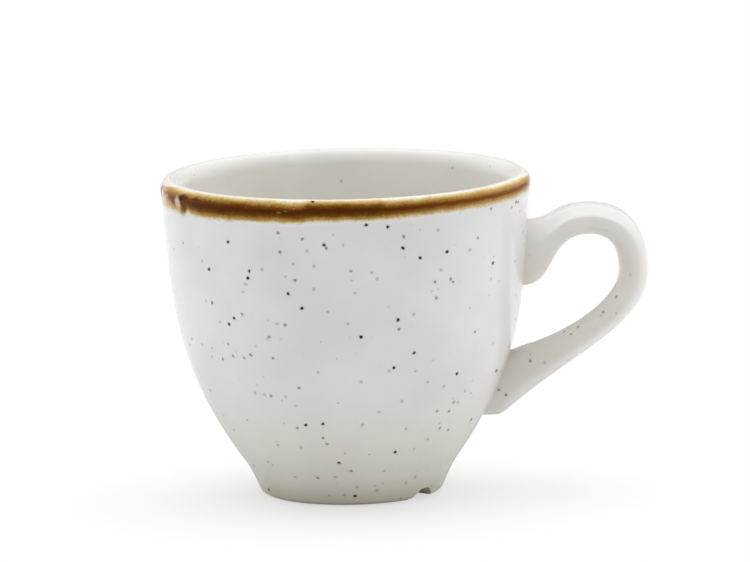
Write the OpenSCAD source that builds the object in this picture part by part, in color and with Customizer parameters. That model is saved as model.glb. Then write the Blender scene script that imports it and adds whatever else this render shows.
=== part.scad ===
// Espresso cup: a clay bowl on a small foot, a loop handle luted to its wall, and the coats of glaze.
// Millimetres, +Z up. The origin is the centre of the standing face and the handle points along +X.

/* [Bowl] */
// Outside diameter over the brown band at the rim
rim_d = 65; // [58:0.5:76]
// Height from the table to the crest of the lip
cup_h = 56; // [53:0.5:66]
// Thickness of the clay wall
wall_t = 3; // [2.4:0.1:4]
// Thickness of the clay floor
floor_t = 4.2; // [3:0.1:6]
// Lean of the wall at the rim, in degrees from upright
rim_lean = 4.5; // [0:0.5:8]
// Length of the straight pull of the wall below the rim
rim_pull = 17.5; // [12:0.5:22]
// Lean of the wall at the top of the foot, in degrees from upright
belly_lean = 35.5; // [30:0.5:40]
// Length of the straight pull of the wall above the foot
belly_pull = 22; // [14:0.5:24]
// Height above the inside floor at which the inside wall turns into the floor
turn_h = 9; // [6:0.5:14]
// Radius of the flat part of the inside floor
flat_r = 7; // [4:0.5:10]
// Length of the straight pull of the inside wall towards the floor
turn_pull = 6.5; // [4:0.5:8]

/* [Foot] */
// Diameter of the standing face
foot_d = 30; // [26:0.5:32]
// Height of the foot
foot_h = 6; // [5:0.5:8]
// Diameter at the top of the foot
waist_d = 37.6; // [36:0.1:40]
// Lean of the foot at its lower edge, in degrees from upright
foot_lean = 24; // [10:1:30]
// Radius of the lower edge of the foot
foot_edge_r = 1.2; // [0.8:0.1:2]
// Width of the standing face
stand_w = 2.6; // [2:0.1:4]
// Depth of the recess under the cup
recess_h = 2.4; // [1.6:0.1:3.4]
// Inward run of the side of the recess
recess_run = 1.2; // [0.5:0.1:2]
// Height of the bare clay inside the standing ring
bare_h = 0.6; // [0.3:0.1:1.2]
// Width of the drain notch at the table
notch_w = 6.4; // [4:0.2:9]
// Width of the drain notch at its roof
notch_roof_w = 2.2; // [1:0.2:3.6]
// Height of the drain notch
notch_h = 1.9; // [1:0.1:2.4]
// Turn of the drain notch from the handle, in degrees
notch_turn = -39; // [-180:1:180]

/* [Glaze] */
// Thickness of the glaze
glaze_t = 0.3; // [0.2:0.05:0.5]
// Height of the brown band below the crest of the lip
band_h = 3.7; // [2.5:0.1:6]
// Thickness of the brown band over the glaze
band_t = 0.3; // [0.2:0.05:0.5]
// Thickness of the brown band at its two edges
band_edge_t = 0.1; // [0.05:0.05:0.15]
// Reach of the band round the lip, in degrees from the outside towards the crest
band_wrap = 70; // [45:5:85]

/* [Handle] */
// Reach of the handle beyond the rim
handle_out = 20.2; // [16:0.1:26]
// Drop of the handle's crest below the lip
handle_drop = 6.1; // [4:0.1:8]
// Distance from the outermost point of the handle in to its crest
bend_w = 10.3; // [8:0.1:12]
// Distance from the crest of the handle down to its outermost point
bend_h = 11.6; // [9:0.1:13]
// Thickness of the strap across the grip
grip_t = 5.4; // [4.5:0.1:7]
// Width of the strap across the grip
grip_w = 9.8; // [8:0.1:12]
// Drop of the middle of the upper root below the lip
upper_root_drop = 14.65; // [13:0.05:17]
// Height of the upper root on the wall
upper_root_h = 11.7; // [9:0.1:13]
// Width of the upper root
upper_root_w = 11; // [9:0.1:13]
// Height of the middle of the lower root
lower_root_z = 18.45; // [17:0.05:22]
// Height of the lower root on the wall
lower_root_h = 11.4; // [9:0.1:12.5]
// Width of the lower root
lower_root_w = 9; // [8:0.1:11]
// Length of the straight stub between the wall and the lower arm
toe_l = 3.3; // [1.5:0.1:4]
// Rise of the inner edge of that stub, in degrees
toe_rise = 20; // [0:1:30]

/* [Hidden] */

// Steps along each curve of the bowl, degrees between points on a small round, and sides of a turned shape
curve_steps = 24;
foot_steps = 12;
round_step = 15;
turn_sides = 180;
// Points round the strap, stations along each bend of it, and how square its section is
strap_sides = 20;
bend_steps = 12;
arm_steps = 18;
toe_steps = 4;
strap_square = 2.5;
// How far cutters and roots run past the surface they meet
overrun = 2;
search_steps = 24;

// Glazed wall, rim and foot
coat_t = wall_t + 2 * glaze_t;
lip_r = coat_t / 2;
rim = [rim_d / 2 - band_t, cup_h - lip_r - lip_r * sin(rim_lean)];
waist = [waist_d / 2, foot_h];
foot = [foot_d / 2 + foot_edge_r * cos(foot_lean), foot_edge_r * (1 - sin(foot_lean))];
foot_pull = norm(waist - foot) / 3;
foot_curve = [foot, foot + foot_pull * lean_way(foot_lean), waist - foot_pull * lean_way(belly_lean), waist];
wall_curve = [waist, waist + belly_pull * lean_way(belly_lean), rim - rim_pull * lean_way(rim_lean), rim];

// Recess under the cup, and the floor inside it
stand_in_r = foot_d / 2 - stand_w;
clay_roof_z = recess_h + glaze_t;
clay_floor_z = clay_roof_z + floor_t;
side_coat = glaze_t * norm([recess_run, clay_roof_z]) / clay_roof_z;

// Crest, side and roots of the handle, in the XZ plane
upper_root_z = cup_h - upper_root_drop;
crest = [rim_d / 2 + handle_out - bend_w, cup_h - handle_drop];
side = [rim_d / 2 + handle_out, crest.y - bend_h];
upper_out = on_wall(upper_root_z + upper_root_h / 2);
upper_in = on_wall(upper_root_z - upper_root_h / 2);
lower_out = on_wall(lower_root_z - lower_root_h / 2);
lower_in = on_wall(lower_root_z + lower_root_h / 2);
toe_out = lower_out + [toe_l, 0];
toe_in = lower_in + [toe_l, toe_l * tan(toe_rise)];

// Directions in which the two rails of the strap leave its roots, and how far they keep to them
upper_out_pull = 4.5 * rise_way(0);
upper_in_pull = 6.2 * rise_way(3);
lower_out_pull = 16 * rise_way(42);
lower_in_pull = 2.5 * rise_way(10);
crest_out_pull = [6.2, 0];
crest_in_pull = [7.7, 0];
side_out_pull = [0, -10.2];
side_in_pull = [0, -7.2];
// Fullness of the bend, as a share of its width and height
bend_full = 0.64;

clay_colour = "antiquewhite";
slip_colour = "linen";
glaze_colour = "whitesmoke";
band_colour = "saddlebrown";

// Unit direction that leans out from upright by an angle
function lean_way(angle) = [sin(angle), cos(angle)];
// Unit direction that rises from level by an angle
function rise_way(angle) = [cos(angle), sin(angle)];

// Point on a cubic curve, and its unit normal towards the axis of the bowl
function curve_point(c, t) =
    pow(1 - t, 3) * c[0] + 3 * pow(1 - t, 2) * t * c[1] + 3 * (1 - t) * t * t * c[2] + pow(t, 3) * c[3];
function curve_way(c, t) =
    let (d = pow(1 - t, 2) * (c[1] - c[0]) + 2 * (1 - t) * t * (c[2] - c[1]) + t * t * (c[3] - c[2]))
    d / norm(d);
function inset_point(c, t, inset) = let (way = curve_way(c, t)) curve_point(c, t) + inset * [-way.y, way.x];

// Points along a stretch of a curve, moved in by an inset, from the given one on
function curve_line(c, inset, from = 0, to = 1, steps = curve_steps, first = 0) =
    [for (i = [first:steps]) inset_point(c, from + (to - from) * i / steps, inset)];

// Place on the wall curve that an inset brings to a height
function wall_at(z, inset = 0, low = 0, high = 1, left = search_steps) =
    let (middle = (low + high) / 2)
    left == 0 ? middle
    : inset_point(wall_curve, middle, inset).y < z ? wall_at(z, inset, middle, high, left - 1)
    : wall_at(z, inset, low, middle, left - 1);
function on_wall(z) = curve_point(wall_curve, wall_at(z));

// Points round the lip, from the outside over the crest to the inside
lip_centre = inset_point(wall_curve, 1, lip_r);
function lip_point(r, angle) = lip_centre + r * rise_way(angle);
function lip_line(r, from, to) = [for (a = [from:round_step:to]) lip_point(r, a)];
function lip_outside(r) = lip_line(r, round_step, 90);
function lip_inside(r) = lip_line(r, 90, 180 - round_step);

// Inside wall and floor, from the lip to the axis
function inside_line(inset, floor_z) =
    let (start = wall_at(clay_floor_z + turn_h, inset),
        turn = inset_point(wall_curve, start, inset),
        way = curve_way(wall_curve, start),
        floor_curve = [turn, turn - turn_pull * way, [flat_r, floor_z], [0, floor_z]])
    concat(curve_line(wall_curve, inset, 1, start), curve_line(floor_curve, 0, first = 1));

// Outside of the bowl from the foot to the rim
function outside_line(inset) =
    concat(curve_line(foot_curve, inset, steps = foot_steps), curve_line(wall_curve, inset, first = 1));

// Radius of the side of the clay recess at a height
function recess_side(z) = stand_in_r - recess_run * z / clay_roof_z;

// Rounded lower edge of the clay foot
function foot_edge_line(r) =
    [for (a = [0:round_step:90 - foot_lean]) [foot_d / 2 + r * sin(a), r * (1 - cos(a))]];

// Points in order from the last to the first
function backwards(list) = [for (i = [len(list) - 1:-1:0]) list[i]];

// Signed power, for a section between an ellipse and a rectangle
function square_share(v) = sign(v) * pow(abs(v), 2 / strap_square);
function section_point(i) = let (a = 360 * i / strap_sides) [square_share(cos(a)), square_share(sin(a))];

// Rails of the strap from the upper root over the crest and down to the toe
out_rail = [
    [upper_out, upper_out + upper_out_pull, crest - crest_out_pull, crest],
    [crest, crest + [bend_full * bend_w, 0], side + [0, bend_full * bend_h], side],
    [side, side + side_out_pull, toe_out + lower_out_pull, toe_out]
];
crest_in = crest - [0, grip_t];
side_in = side - [grip_t, 0];
in_bend = [bend_w - grip_t, bend_h - grip_t];
in_rail = [
    [upper_in, upper_in + upper_in_pull, crest_in - crest_in_pull, crest_in],
    [crest_in, crest_in + [bend_full * in_bend.x, 0], side_in + [0, bend_full * in_bend.y], side_in],
    [side_in, side_in + side_in_pull, toe_in + lower_in_pull, toe_in]
];

// Station of the strap: outer rail point, inner rail point and width
function rail_station(part, t, from_w, to_w) =
    [curve_point(out_rail[part], t), curve_point(in_rail[part], t), from_w + (to_w - from_w) * t];
strap_stations = concat(
    [[upper_out - [overrun, 0], upper_in - [overrun, 0], upper_root_w]],
    [for (i = [0:bend_steps - 1]) rail_station(0, i / bend_steps, upper_root_w, grip_w)],
    [for (i = [0:bend_steps - 1]) rail_station(1, i / bend_steps, grip_w, grip_w)],
    [for (i = [0:arm_steps - 1]) rail_station(2, i / arm_steps, grip_w, lower_root_w)],
    [for (i = [0:toe_steps]) let (t = i / toe_steps)
        [toe_out + (lower_out - toe_out) * t, toe_in + (lower_in - toe_in) * t, lower_root_w]],
    [[lower_out - [overrun, 0], lower_in - [overrun, 0], lower_root_w]]
);

// Ring of points round one station, moved in by an inset
function strap_ring(station, inset) =
    let (middle = (station[0] + station[1]) / 2,
        across = (station[0] - station[1]) / 2,
        half = norm(across),
        reach = across * (half - inset) / half)
    [for (i = [0:strap_sides - 1]) let (p = section_point(i))
        [middle.x + reach.x * p.x, (station[2] / 2 - inset) * p.y, middle.y + reach.y * p.x]];
function strap_points(inset) = [for (s = strap_stations) each strap_ring(s, inset)];

// Two triangles between points a to b of one ring and c to d of the next
function quad(a, b, c, d) = [[a, c, b], [b, c, d]];
function next_side(i) = (i + 1) % strap_sides;
function strap_skin(first) =
    [for (k = [0:len(strap_stations) - 2], i = [0:strap_sides - 1])
        let (ring = first + k * strap_sides)
        each quad(ring + i, ring + next_side(i), ring + strap_sides + i, ring + strap_sides + next_side(i))];
function turned(faces) = [for (f = faces) backwards(f)];

module strap() {
    last = (len(strap_stations) - 1) * strap_sides;
    ends = [[for (i = [0:strap_sides - 1]) i], [for (i = [strap_sides - 1:-1:0]) last + i]];
    polyhedron(strap_points(glaze_t), concat(strap_skin(0), ends));
}

module strap_coat() {
    count = len(strap_stations) * strap_sides;
    last = count - strap_sides;
    start = [for (i = [0:strap_sides - 1]) each quad(i, count + i, next_side(i), count + next_side(i))];
    end = [for (i = [0:strap_sides - 1])
        each quad(last + i, last + next_side(i), count + last + i, count + last + next_side(i))];
    polyhedron(
        concat(strap_points(0), strap_points(glaze_t)),
        concat(strap_skin(0), turned(strap_skin(count)), turned(start), end)
    );
}

// Turned solid of the glazed cup with no hollow, which trims what joins its wall
module glazed_solid() {
    rotate_extrude($fn = turn_sides)
        polygon(concat([[0, 0], [foot_d / 2, 0]], outside_line(0), [[rim.x, cup_h], [0, cup_h]]));
}

// Shell of the outer coat
module outer_shell() {
    rotate_extrude($fn = turn_sides)
        polygon(concat(
            outside_line(0), lip_outside(lip_r),
            backwards(lip_outside(lip_r - glaze_t)), backwards(outside_line(glaze_t))
        ));
}

// Outline of a root of the handle, carried along X through the wall
module root_prism(out_end, in_end, width) {
    middle = (out_end + in_end) / 2;
    half_h = abs(out_end.y - in_end.y) / 2;
    rotate([90, 0, 90])
        linear_extrude(rim_d)
            polygon([for (i = [0:strap_sides - 1]) let (p = section_point(i))
                [width / 2 * p.y, middle.y + half_h * p.x]]);
}

module upper_root() {
    root_prism(upper_out, upper_in, upper_root_w);
}

module lower_root() {
    root_prism(lower_out, lower_in, lower_root_w);
}

// Drain notch, cut through one side of the foot
module notch() {
    under_w = notch_w + (notch_w - notch_roof_w) * overrun / notch_h;
    rotate([90, 0, 90 + notch_turn])
        linear_extrude(waist_d)
            polygon([
                [-under_w / 2, -overrun], [under_w / 2, -overrun],
                [notch_roof_w / 2, notch_h], [-notch_roof_w / 2, notch_h]
            ]);
}

module bowl() {
    color(clay_colour)
        difference() {
            rotate_extrude($fn = turn_sides)
                polygon(concat(
                    [[0, clay_roof_z], [recess_side(clay_roof_z), clay_roof_z], [recess_side(0), 0]],
                    foot_edge_line(foot_edge_r - glaze_t), outside_line(glaze_t),
                    lip_line(lip_r - glaze_t, round_step, 180 - round_step),
                    inside_line(coat_t - glaze_t, clay_floor_z)
                ));
            notch();
        }
}

module handle() {
    color(clay_colour)
        difference() {
            strap();
            glazed_solid();
        }
}

module upper_handle_joint() {
    color(slip_colour)
        intersection() {
            outer_shell();
            upper_root();
        }
}

module lower_handle_joint() {
    color(slip_colour)
        intersection() {
            outer_shell();
            lower_root();
        }
}

module outer_glaze() {
    color(glaze_colour)
        difference() {
            outer_shell();
            upper_root();
            lower_root();
            notch();
        }
}

module inner_glaze() {
    color(glaze_colour)
        rotate_extrude($fn = turn_sides)
            polygon(concat(
                lip_inside(lip_r), inside_line(coat_t, clay_floor_z + glaze_t),
                backwards(inside_line(coat_t - glaze_t, clay_floor_z)), backwards(lip_inside(lip_r - glaze_t))
            ));
}

module base_glaze() {
    color(glaze_colour)
        difference() {
            rotate_extrude($fn = turn_sides)
                polygon([
                    [0, recess_h], [recess_side(recess_h) - side_coat, recess_h],
                    [recess_side(bare_h) - side_coat, bare_h], [recess_side(bare_h), bare_h],
                    [recess_side(clay_roof_z), clay_roof_z], [0, clay_roof_z]
                ]);
            notch();
        }
}

module handle_glaze() {
    color(glaze_colour)
        difference() {
            strap_coat();
            glazed_solid();
        }
}

module rim_band() {
    start = wall_at(cup_h - band_h);
    swell = band_t - band_edge_t;
    wrap_angles = [for (a = [round_step:round_step:band_wrap - 1]) a];
    color(band_colour)
        rotate_extrude($fn = turn_sides)
            polygon(concat(
                [for (i = [0:curve_steps]) let (s = i / curve_steps)
                    inset_point(wall_curve, start + (1 - start) * s, -band_edge_t - swell * sin(90 * s))],
                [for (a = wrap_angles) lip_point(lip_r + band_edge_t + swell * cos(90 * a / band_wrap), a)],
                [lip_point(lip_r + band_edge_t, band_wrap), lip_point(lip_r, band_wrap)],
                [for (a = backwards(wrap_angles)) lip_point(lip_r, a)],
                curve_line(wall_curve, 0, 1, start)
            ));
}

bowl();
handle();
upper_handle_joint();
lower_handle_joint();
outer_glaze();
inner_glaze();
base_glaze();
handle_glaze();
rim_band();
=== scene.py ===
"""Looks of the espresso cup: its coats of glaze, brown band, bare clay, floor and light."""

import math

import bpy
import numpy as np
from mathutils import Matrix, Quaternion, Vector
from mathutils.bvhtree import BVHTree


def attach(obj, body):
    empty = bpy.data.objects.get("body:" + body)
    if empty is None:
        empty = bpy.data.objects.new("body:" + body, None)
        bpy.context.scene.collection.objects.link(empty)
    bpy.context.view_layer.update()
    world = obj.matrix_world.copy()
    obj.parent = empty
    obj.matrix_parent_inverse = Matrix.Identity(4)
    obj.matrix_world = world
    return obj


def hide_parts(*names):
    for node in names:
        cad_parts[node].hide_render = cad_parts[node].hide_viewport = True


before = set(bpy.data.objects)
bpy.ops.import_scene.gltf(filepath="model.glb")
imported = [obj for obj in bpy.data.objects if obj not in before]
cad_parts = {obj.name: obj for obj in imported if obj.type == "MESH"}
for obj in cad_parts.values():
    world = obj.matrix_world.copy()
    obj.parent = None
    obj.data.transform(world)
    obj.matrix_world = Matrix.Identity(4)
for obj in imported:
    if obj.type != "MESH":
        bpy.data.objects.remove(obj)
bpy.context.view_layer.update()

# Metres in a millimetre
MM = 0.001

# Sizes in millimetres and angles in degrees, as in the part's source
RIM_D = 65.0
CUP_H = 56.0
WALL_T = 3.0
FLOOR_T = 4.2
RIM_LEAN = 4.5
RIM_PULL = 17.5
BELLY_LEAN = 35.5
BELLY_PULL = 22.0
TURN_H = 9.0
FLAT_R = 7.0
TURN_PULL = 6.5
FOOT_D = 30.0
FOOT_H = 6.0
WAIST_D = 37.6
FOOT_LEAN = 24.0
FOOT_EDGE_R = 1.2
RECESS_H = 2.4
NOTCH_W = 6.4
NOTCH_ROOF_W = 2.2
NOTCH_H = 1.9
NOTCH_TURN = -39.0
GLAZE_T = 0.3
BAND_T = 0.3
HANDLE_OUT = 20.2
HANDLE_DROP = 6.1
BEND_W = 10.3
BEND_H = 11.6
BEND_FULL = 0.64
GRIP_T = 5.4
GRIP_W = 9.8
UPPER_ROOT_Z = 41.35
UPPER_ROOT_H = 11.7
UPPER_ROOT_W = 11.0
LOWER_ROOT_Z = 18.45
LOWER_ROOT_H = 11.4
LOWER_ROOT_W = 9.0
TOE_L = 3.3
TOE_RISE = 20.0
CREST_OUT_PULL = 6.2
CREST_IN_PULL = 7.7
SIDE_OUT_PULL = 10.2
SIDE_IN_PULL = 7.2
# How far the rails of the strap keep straight at its roots, and their rise there
UPPER_OUT_PULL = (4.5, 0)
UPPER_IN_PULL = (6.2, 3)
LOWER_OUT_PULL = (16, 42)
LOWER_IN_PULL = (2.5, 10)

# Fall of the lip inside, from the crest to the wall
LIP_FALL = 2.9

# The picture in pixels, and the view in millimetres and degrees
PICTURE_W = 750
PICTURE_H = 562
FOCAL_PX = 6845.0
TARGET_PX = (374.3, 330.9)
TARGET = (4.5, 0.0, 28.0)
VIEW_RISE = 9.67
VIEW_ROLL = -1.2
VIEW_DISTANCE = 1200.0


# Points and directions

def unit(ways):
    """Directions scaled to a length of 1."""
    return ways / np.linalg.norm(ways, axis=-1, keepdims=True)


def right_of(ways):
    """Directions turned to the right, in a plane."""
    return np.stack([ways[..., 1], -ways[..., 0]], axis=-1)


def rise_way(angle):
    """Direction that rises by an angle in degrees."""
    return np.stack([np.cos(np.radians(angle)), np.sin(np.radians(angle))], axis=-1)


def lean_way(angle):
    """Direction that leans out from upright by an angle."""
    return rise_way(90 - angle)


def curve_points(curve, t):
    """Points on a cubic curve at places from 0 to 1."""
    t = np.asarray(t)[..., None]
    a, b, c, d = np.asarray(curve)
    return (1 - t) ** 3 * a + 3 * (1 - t) ** 2 * t * b + 3 * (1 - t) * t * t * c + t**3 * d


def curve_normals(curve, t):
    """Unit normals of a cubic curve, on its right-hand side."""
    t = np.asarray(t)[..., None]
    a, b, c, d = np.asarray(curve)
    return right_of(unit((1 - t) ** 2 * (b - a) + 2 * (1 - t) * t * (c - b) + t * t * (d - c)))


def run_lengths(points):
    """Length along a row of points up to each of them."""
    return np.concatenate([[0], np.cumsum(np.linalg.norm(np.diff(points, axis=0), axis=1))])


def points_at(at, places, points):
    """Points between the ones of a row, at places along it."""
    return np.stack([np.interp(at, places, points[:, i]) for i in range(points.shape[1])], axis=-1)


def step_round(points, axis=0):
    """Steps from the point before to the one after, for each point of a closed row."""
    return np.roll(points, -1, axis=axis) - np.roll(points, 1, axis=axis)


def turned(points, turns):
    """Points or directions, given as radius and height, at angles round the axis."""
    x = points[..., 0] * np.cos(turns)
    y = points[..., 0] * np.sin(turns)
    return np.stack([x, y, points[..., 1] * np.ones_like(turns)], axis=-1)


# Outline of the cup, as radius and height

FINE_STEPS = 400
SAME_POINT = 1e-9

COAT_T = WALL_T + 2 * GLAZE_T
LIP_R = COAT_T / 2
FLOOR_Z = RECESS_H + 2 * GLAZE_T + FLOOR_T
RIM = np.array([RIM_D / 2 - BAND_T, CUP_H - LIP_R - LIP_R * math.sin(math.radians(RIM_LEAN))])
WAIST = np.array([WAIST_D / 2, FOOT_H])
FOOT_CENTRE = np.array([FOOT_D / 2, FOOT_EDGE_R])
FOOT = FOOT_CENTRE + FOOT_EDGE_R * rise_way(-FOOT_LEAN)
FOOT_PULL = np.linalg.norm(WAIST - FOOT) / 3
FOOT_CURVE = [FOOT, FOOT + FOOT_PULL * lean_way(FOOT_LEAN), WAIST - FOOT_PULL * lean_way(BELLY_LEAN), WAIST]
WALL_CURVE = [WAIST, WAIST + BELLY_PULL * lean_way(BELLY_LEAN), RIM - RIM_PULL * lean_way(RIM_LEAN), RIM]
LIP_CENTRE = RIM - LIP_R * curve_normals(WALL_CURVE, 1.0)
FINE = np.linspace(0, 1, FINE_STEPS)
FINE_WALL = curve_points(WALL_CURVE, FINE)


class Outline:
    """Line through points, with points and normals at any length along it."""

    def __init__(self, points):
        steps = np.linalg.norm(np.diff(points, axis=0), axis=1)
        self.points = points[np.concatenate([[True], steps > SAME_POINT])]
        self.length = run_lengths(self.points)
        self.normals = right_of(unit(np.gradient(self.points, self.length, axis=0)))

    def at(self, length):
        """Points and normals at some lengths."""
        return points_at(length, self.length, self.points), unit(points_at(length, self.length, self.normals))

    def length_to(self, point):
        """Length along the line to its place nearest a point."""
        return self.length[np.argmin(np.linalg.norm(self.points - point, axis=1))]


def wall_radius(z):
    """Outside radius of the wall at a height."""
    return np.interp(z, FINE_WALL[:, 1], FINE_WALL[:, 0])


def inside_points(t):
    """Points on the inside of the wall at places from 0 to 1."""
    return curve_points(WALL_CURVE, t) - COAT_T * curve_normals(WALL_CURVE, t)


def lip_points():
    """Lip from the rim to the wall inside, where it falls more gently."""
    angles = np.radians(np.linspace(0, 180, FINE_STEPS))
    fall = np.where(angles > math.pi / 2, LIP_FALL, LIP_R)
    up = lean_way(RIM_LEAN)
    crest = LIP_CENTRE + LIP_R * up
    drop = fall * (1 - np.sin(angles))
    return crest + LIP_R * np.cos(angles)[:, None] * rise_way(-RIM_LEAN) - drop[:, None] * up


def floor_points(start):
    """Inside from a place on the wall to the middle of the floor."""
    turn = inside_points(start)
    way = -right_of(curve_normals(WALL_CURVE, start))
    return curve_points([turn, turn - TURN_PULL * way, [FLAT_R, FLOOR_Z], [0, FLOOR_Z]], FINE)


def cup_outline():
    """Whole outline from the foot over the lip to the middle of the floor."""
    heights = inside_points(FINE)[:, 1]
    lip = lip_points()
    below_lip = np.interp(lip[-1, 1], heights, FINE)
    floor_start = np.interp(FLOOR_Z - GLAZE_T + TURN_H, heights, FINE)
    return Outline(np.concatenate([
        FOOT_CENTRE + FOOT_EDGE_R * rise_way(np.linspace(-90, -FOOT_LEAN, FINE_STEPS)),
        curve_points(FOOT_CURVE, FINE),
        FINE_WALL,
        lip,
        inside_points(np.linspace(below_lip, floor_start, FINE_STEPS)[1:]),
        floor_points(floor_start),
    ]))


OUTLINE = cup_outline()
# Lengths along the outline where its parts meet
S_WAIST = OUTLINE.length_to(WAIST)
S_RIM = OUTLINE.length_to(RIM)
S_CREST = OUTLINE.length_to(LIP_CENTRE + [0, LIP_R])
S_INNER_RIM = OUTLINE.length_to(lip_points()[-1])


# Meshes from rows of points

def new_object(name, data):
    """New object in the scene."""
    made = bpy.data.objects.new(name, data)
    bpy.context.scene.collection.objects.link(made)
    return made


def row_faces(rows, closed):
    """Faces between rows of vertex numbers, each with its two rows."""
    for low in range(len(rows) if closed else len(rows) - 1):
        high = (low + 1) % len(rows)
        a, b = rows[low], rows[high]
        for i in range(max(len(a), len(b))):
            face = [a[i % len(a)], a[(i + 1) % len(a)], b[(i + 1) % len(b)], b[i % len(b)]]
            face = list(dict.fromkeys(face))
            if len(face) > 2:
                yield face, low, high


def make_piece(name, rows, normals, closed=True, values=None):
    """Object through rows of points in millimetres, smooth between rows that have normals."""
    ends = np.cumsum([0, *map(len, rows)]).tolist()
    numbers = [range(start, end) for start, end in zip(ends, ends[1:])]
    at = np.concatenate([n if n is not None else np.zeros((len(r), 3)) for r, n in zip(rows, normals)])
    faces, smooth, corners = [], [], []
    for face, low, high in row_faces(numbers, closed):
        shaded = normals[low] is not None and normals[high] is not None
        faces.append(face)
        smooth.append(shaded)
        corners.extend(at[v] if shaded else (0.0, 0.0, 0.0) for v in face)
    mesh = bpy.data.meshes.new(name)
    mesh.from_pydata((np.concatenate(rows) * MM).tolist(), [], faces)
    mesh.polygons.foreach_set("use_smooth", smooth)
    mesh.normals_split_custom_set(corners)
    for key, value in (values or {}).items():
        mesh.attributes.new(key, "FLOAT", "POINT").data.foreach_set("value", value)
    return new_object(name, mesh)


def grid_normals(grid):
    """Unit normals of a grid whose rows are closed."""
    return unit(np.cross(step_round(grid, 1), np.gradient(grid, axis=0)))


def soft_min(a, b, softness):
    """Lesser of two arrays, with a soft change between them."""
    return -softness * np.log(np.exp(-a / softness) + np.exp(-b / softness))


def waves(turns, seed, count, lowest, height):
    """Gentle random wave round the cup, the same at each run."""
    rng = np.random.default_rng(seed)
    total = np.zeros_like(turns)
    for k in range(count):
        size = rng.uniform(0.5, 1) / (1 + k)
        phase = rng.uniform(0, 2 * math.pi)
        total += size * np.sin((lowest + 2 * k) * turns + phase)
    return height * total


# Coats outside and inside

# Columns round the cup in degrees, and closer ones at the drain notch
COLUMN_STEP = 1.25
NOTCH_STEP = 0.35
NOTCH_SPAN = 14
ANGLE_DIGITS = 5
# Rows of each part, and how many make one on the side that is not seen
FOOT_ROWS = 30
WALL_ROWS = 70
LIP_ROWS = 24
INSIDE_ROWS = 80
UNDER_STEP = 4
# Lower edge of the outer coat
BARE_H = 0.34
BARE_WAVE = 0.035
EDGE_ROUND = 0.08
EDGE_ANGLES = (150, 120, 90, 60, 30)
NOTCH_R = WAIST_D / 2 * 0.88
NOTCH_ROUND = 0.12


def side_turns():
    """Angles of the columns round the cup."""
    even = np.radians(np.arange(0, 360, COLUMN_STEP))
    near = np.radians(NOTCH_TURN % 360 + np.arange(-NOTCH_SPAN, NOTCH_SPAN + 0.01, NOTCH_STEP))
    return np.unique(np.round(np.concatenate([even, near]), ANGLE_DIGITS))


SIDE_TURNS = side_turns()


def coat_row(length, sunk=0.0):
    """Points round the cup on the outline, or sunk below it, and the normals there."""
    point, normal = OUTLINE.at(length)
    return turned(point - sunk * normal, SIDE_TURNS), turned(normal, SIDE_TURNS)


def under_rows(lengths):
    """Rows under a coat, with no normals."""
    return [(coat_row(length, GLAZE_T)[0], None) for length in lengths]


def outer_edge():
    """Length to the lower edge, which is wiped above the table and follows the notch."""
    bare_z = BARE_H + waves(SIDE_TURNS, seed=3, count=6, lowest=3, height=BARE_WAVE)
    away = SIDE_TURNS - math.radians(NOTCH_TURN)
    off = np.where(np.cos(away) > 0, np.abs(NOTCH_R * np.sin(away)), NOTCH_W)
    slope = NOTCH_H * (NOTCH_W - 2 * off) / (NOTCH_W - NOTCH_ROOF_W)
    notch_z = soft_min(np.full_like(off, NOTCH_H), slope, NOTCH_ROUND)
    edge_z = -soft_min(-bare_z, -notch_z, EDGE_ROUND)
    outside = OUTLINE.length <= S_CREST
    return np.interp(edge_z, OUTLINE.points[outside, 1], OUTLINE.length[outside])


def make_outer_glaze():
    """Coat outside, from its rounded lower edge to the crest of the lip."""
    low = outer_edge()
    lengths = [low + (S_WAIST - low) * k / FOOT_ROWS for k in range(FOOT_ROWS)]
    lengths += [*np.linspace(S_WAIST, S_RIM, WALL_ROWS)[:-1], *np.linspace(S_RIM, S_CREST, LIP_ROWS)]
    rows = [coat_row(length) for length in lengths]
    edge, edge_normal = rows[0]
    down = unit(np.cross(step_round(edge), edge_normal))
    middle = edge - GLAZE_T / 2 * edge_normal
    rows += under_rows(lengths[::-UNDER_STEP] + lengths[:1])
    for angle in np.radians(EDGE_ANGLES):
        way = math.cos(angle) * edge_normal + math.sin(angle) * down
        rows.append((middle + GLAZE_T / 2 * way, way))
    return make_piece("outer_glaze_coat", *zip(*rows))


def make_inner_glaze():
    """Coat inside, from the crest of the lip to the middle of the floor."""
    lengths = [*np.linspace(S_CREST, S_INNER_RIM, LIP_ROWS)[:-1]]
    lengths += [*np.linspace(S_INNER_RIM, OUTLINE.length[-1], INSIDE_ROWS)[:-1]]
    rows = [coat_row(length) for length in lengths]
    rows.append((np.array([[0.0, 0.0, FLOOR_Z]]), np.array([[0.0, 0.0, 1.0]])))
    rows.append((np.array([[0.0, 0.0, FLOOR_Z - GLAZE_T]]), None))
    rows += under_rows(lengths[::-UNDER_STEP])
    return make_piece("inner_glaze_coat", *zip(*rows))


# Handle

# Points round a section, finer steps between them, and the width of its soft corners
STRAP_SIDES = 120
SIDE_STEPS = 20
STRAP_CREASE = 0.13
# Rings of the upper arm, the bend, the lower arm and its stub, and inside the wall
STRAP_COUNTS = (90, 90, 130, 26)
REACH_ROWS = 12
STRAP_REACH = 2.0
# Rows of the coat and the clay, and how many rings make one row on the coat's inner side
COAT_ROWS = 150
CORE_ROWS = 70
CORE_STEP = 6
# How much thinner the strap is on its inner side
STRAP_TRIM = 0.2
# Squareness of the section at the upper root and on the lower arm
ROOT_POWER = 2.5
LOWER_POWER = 2.2
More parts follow.
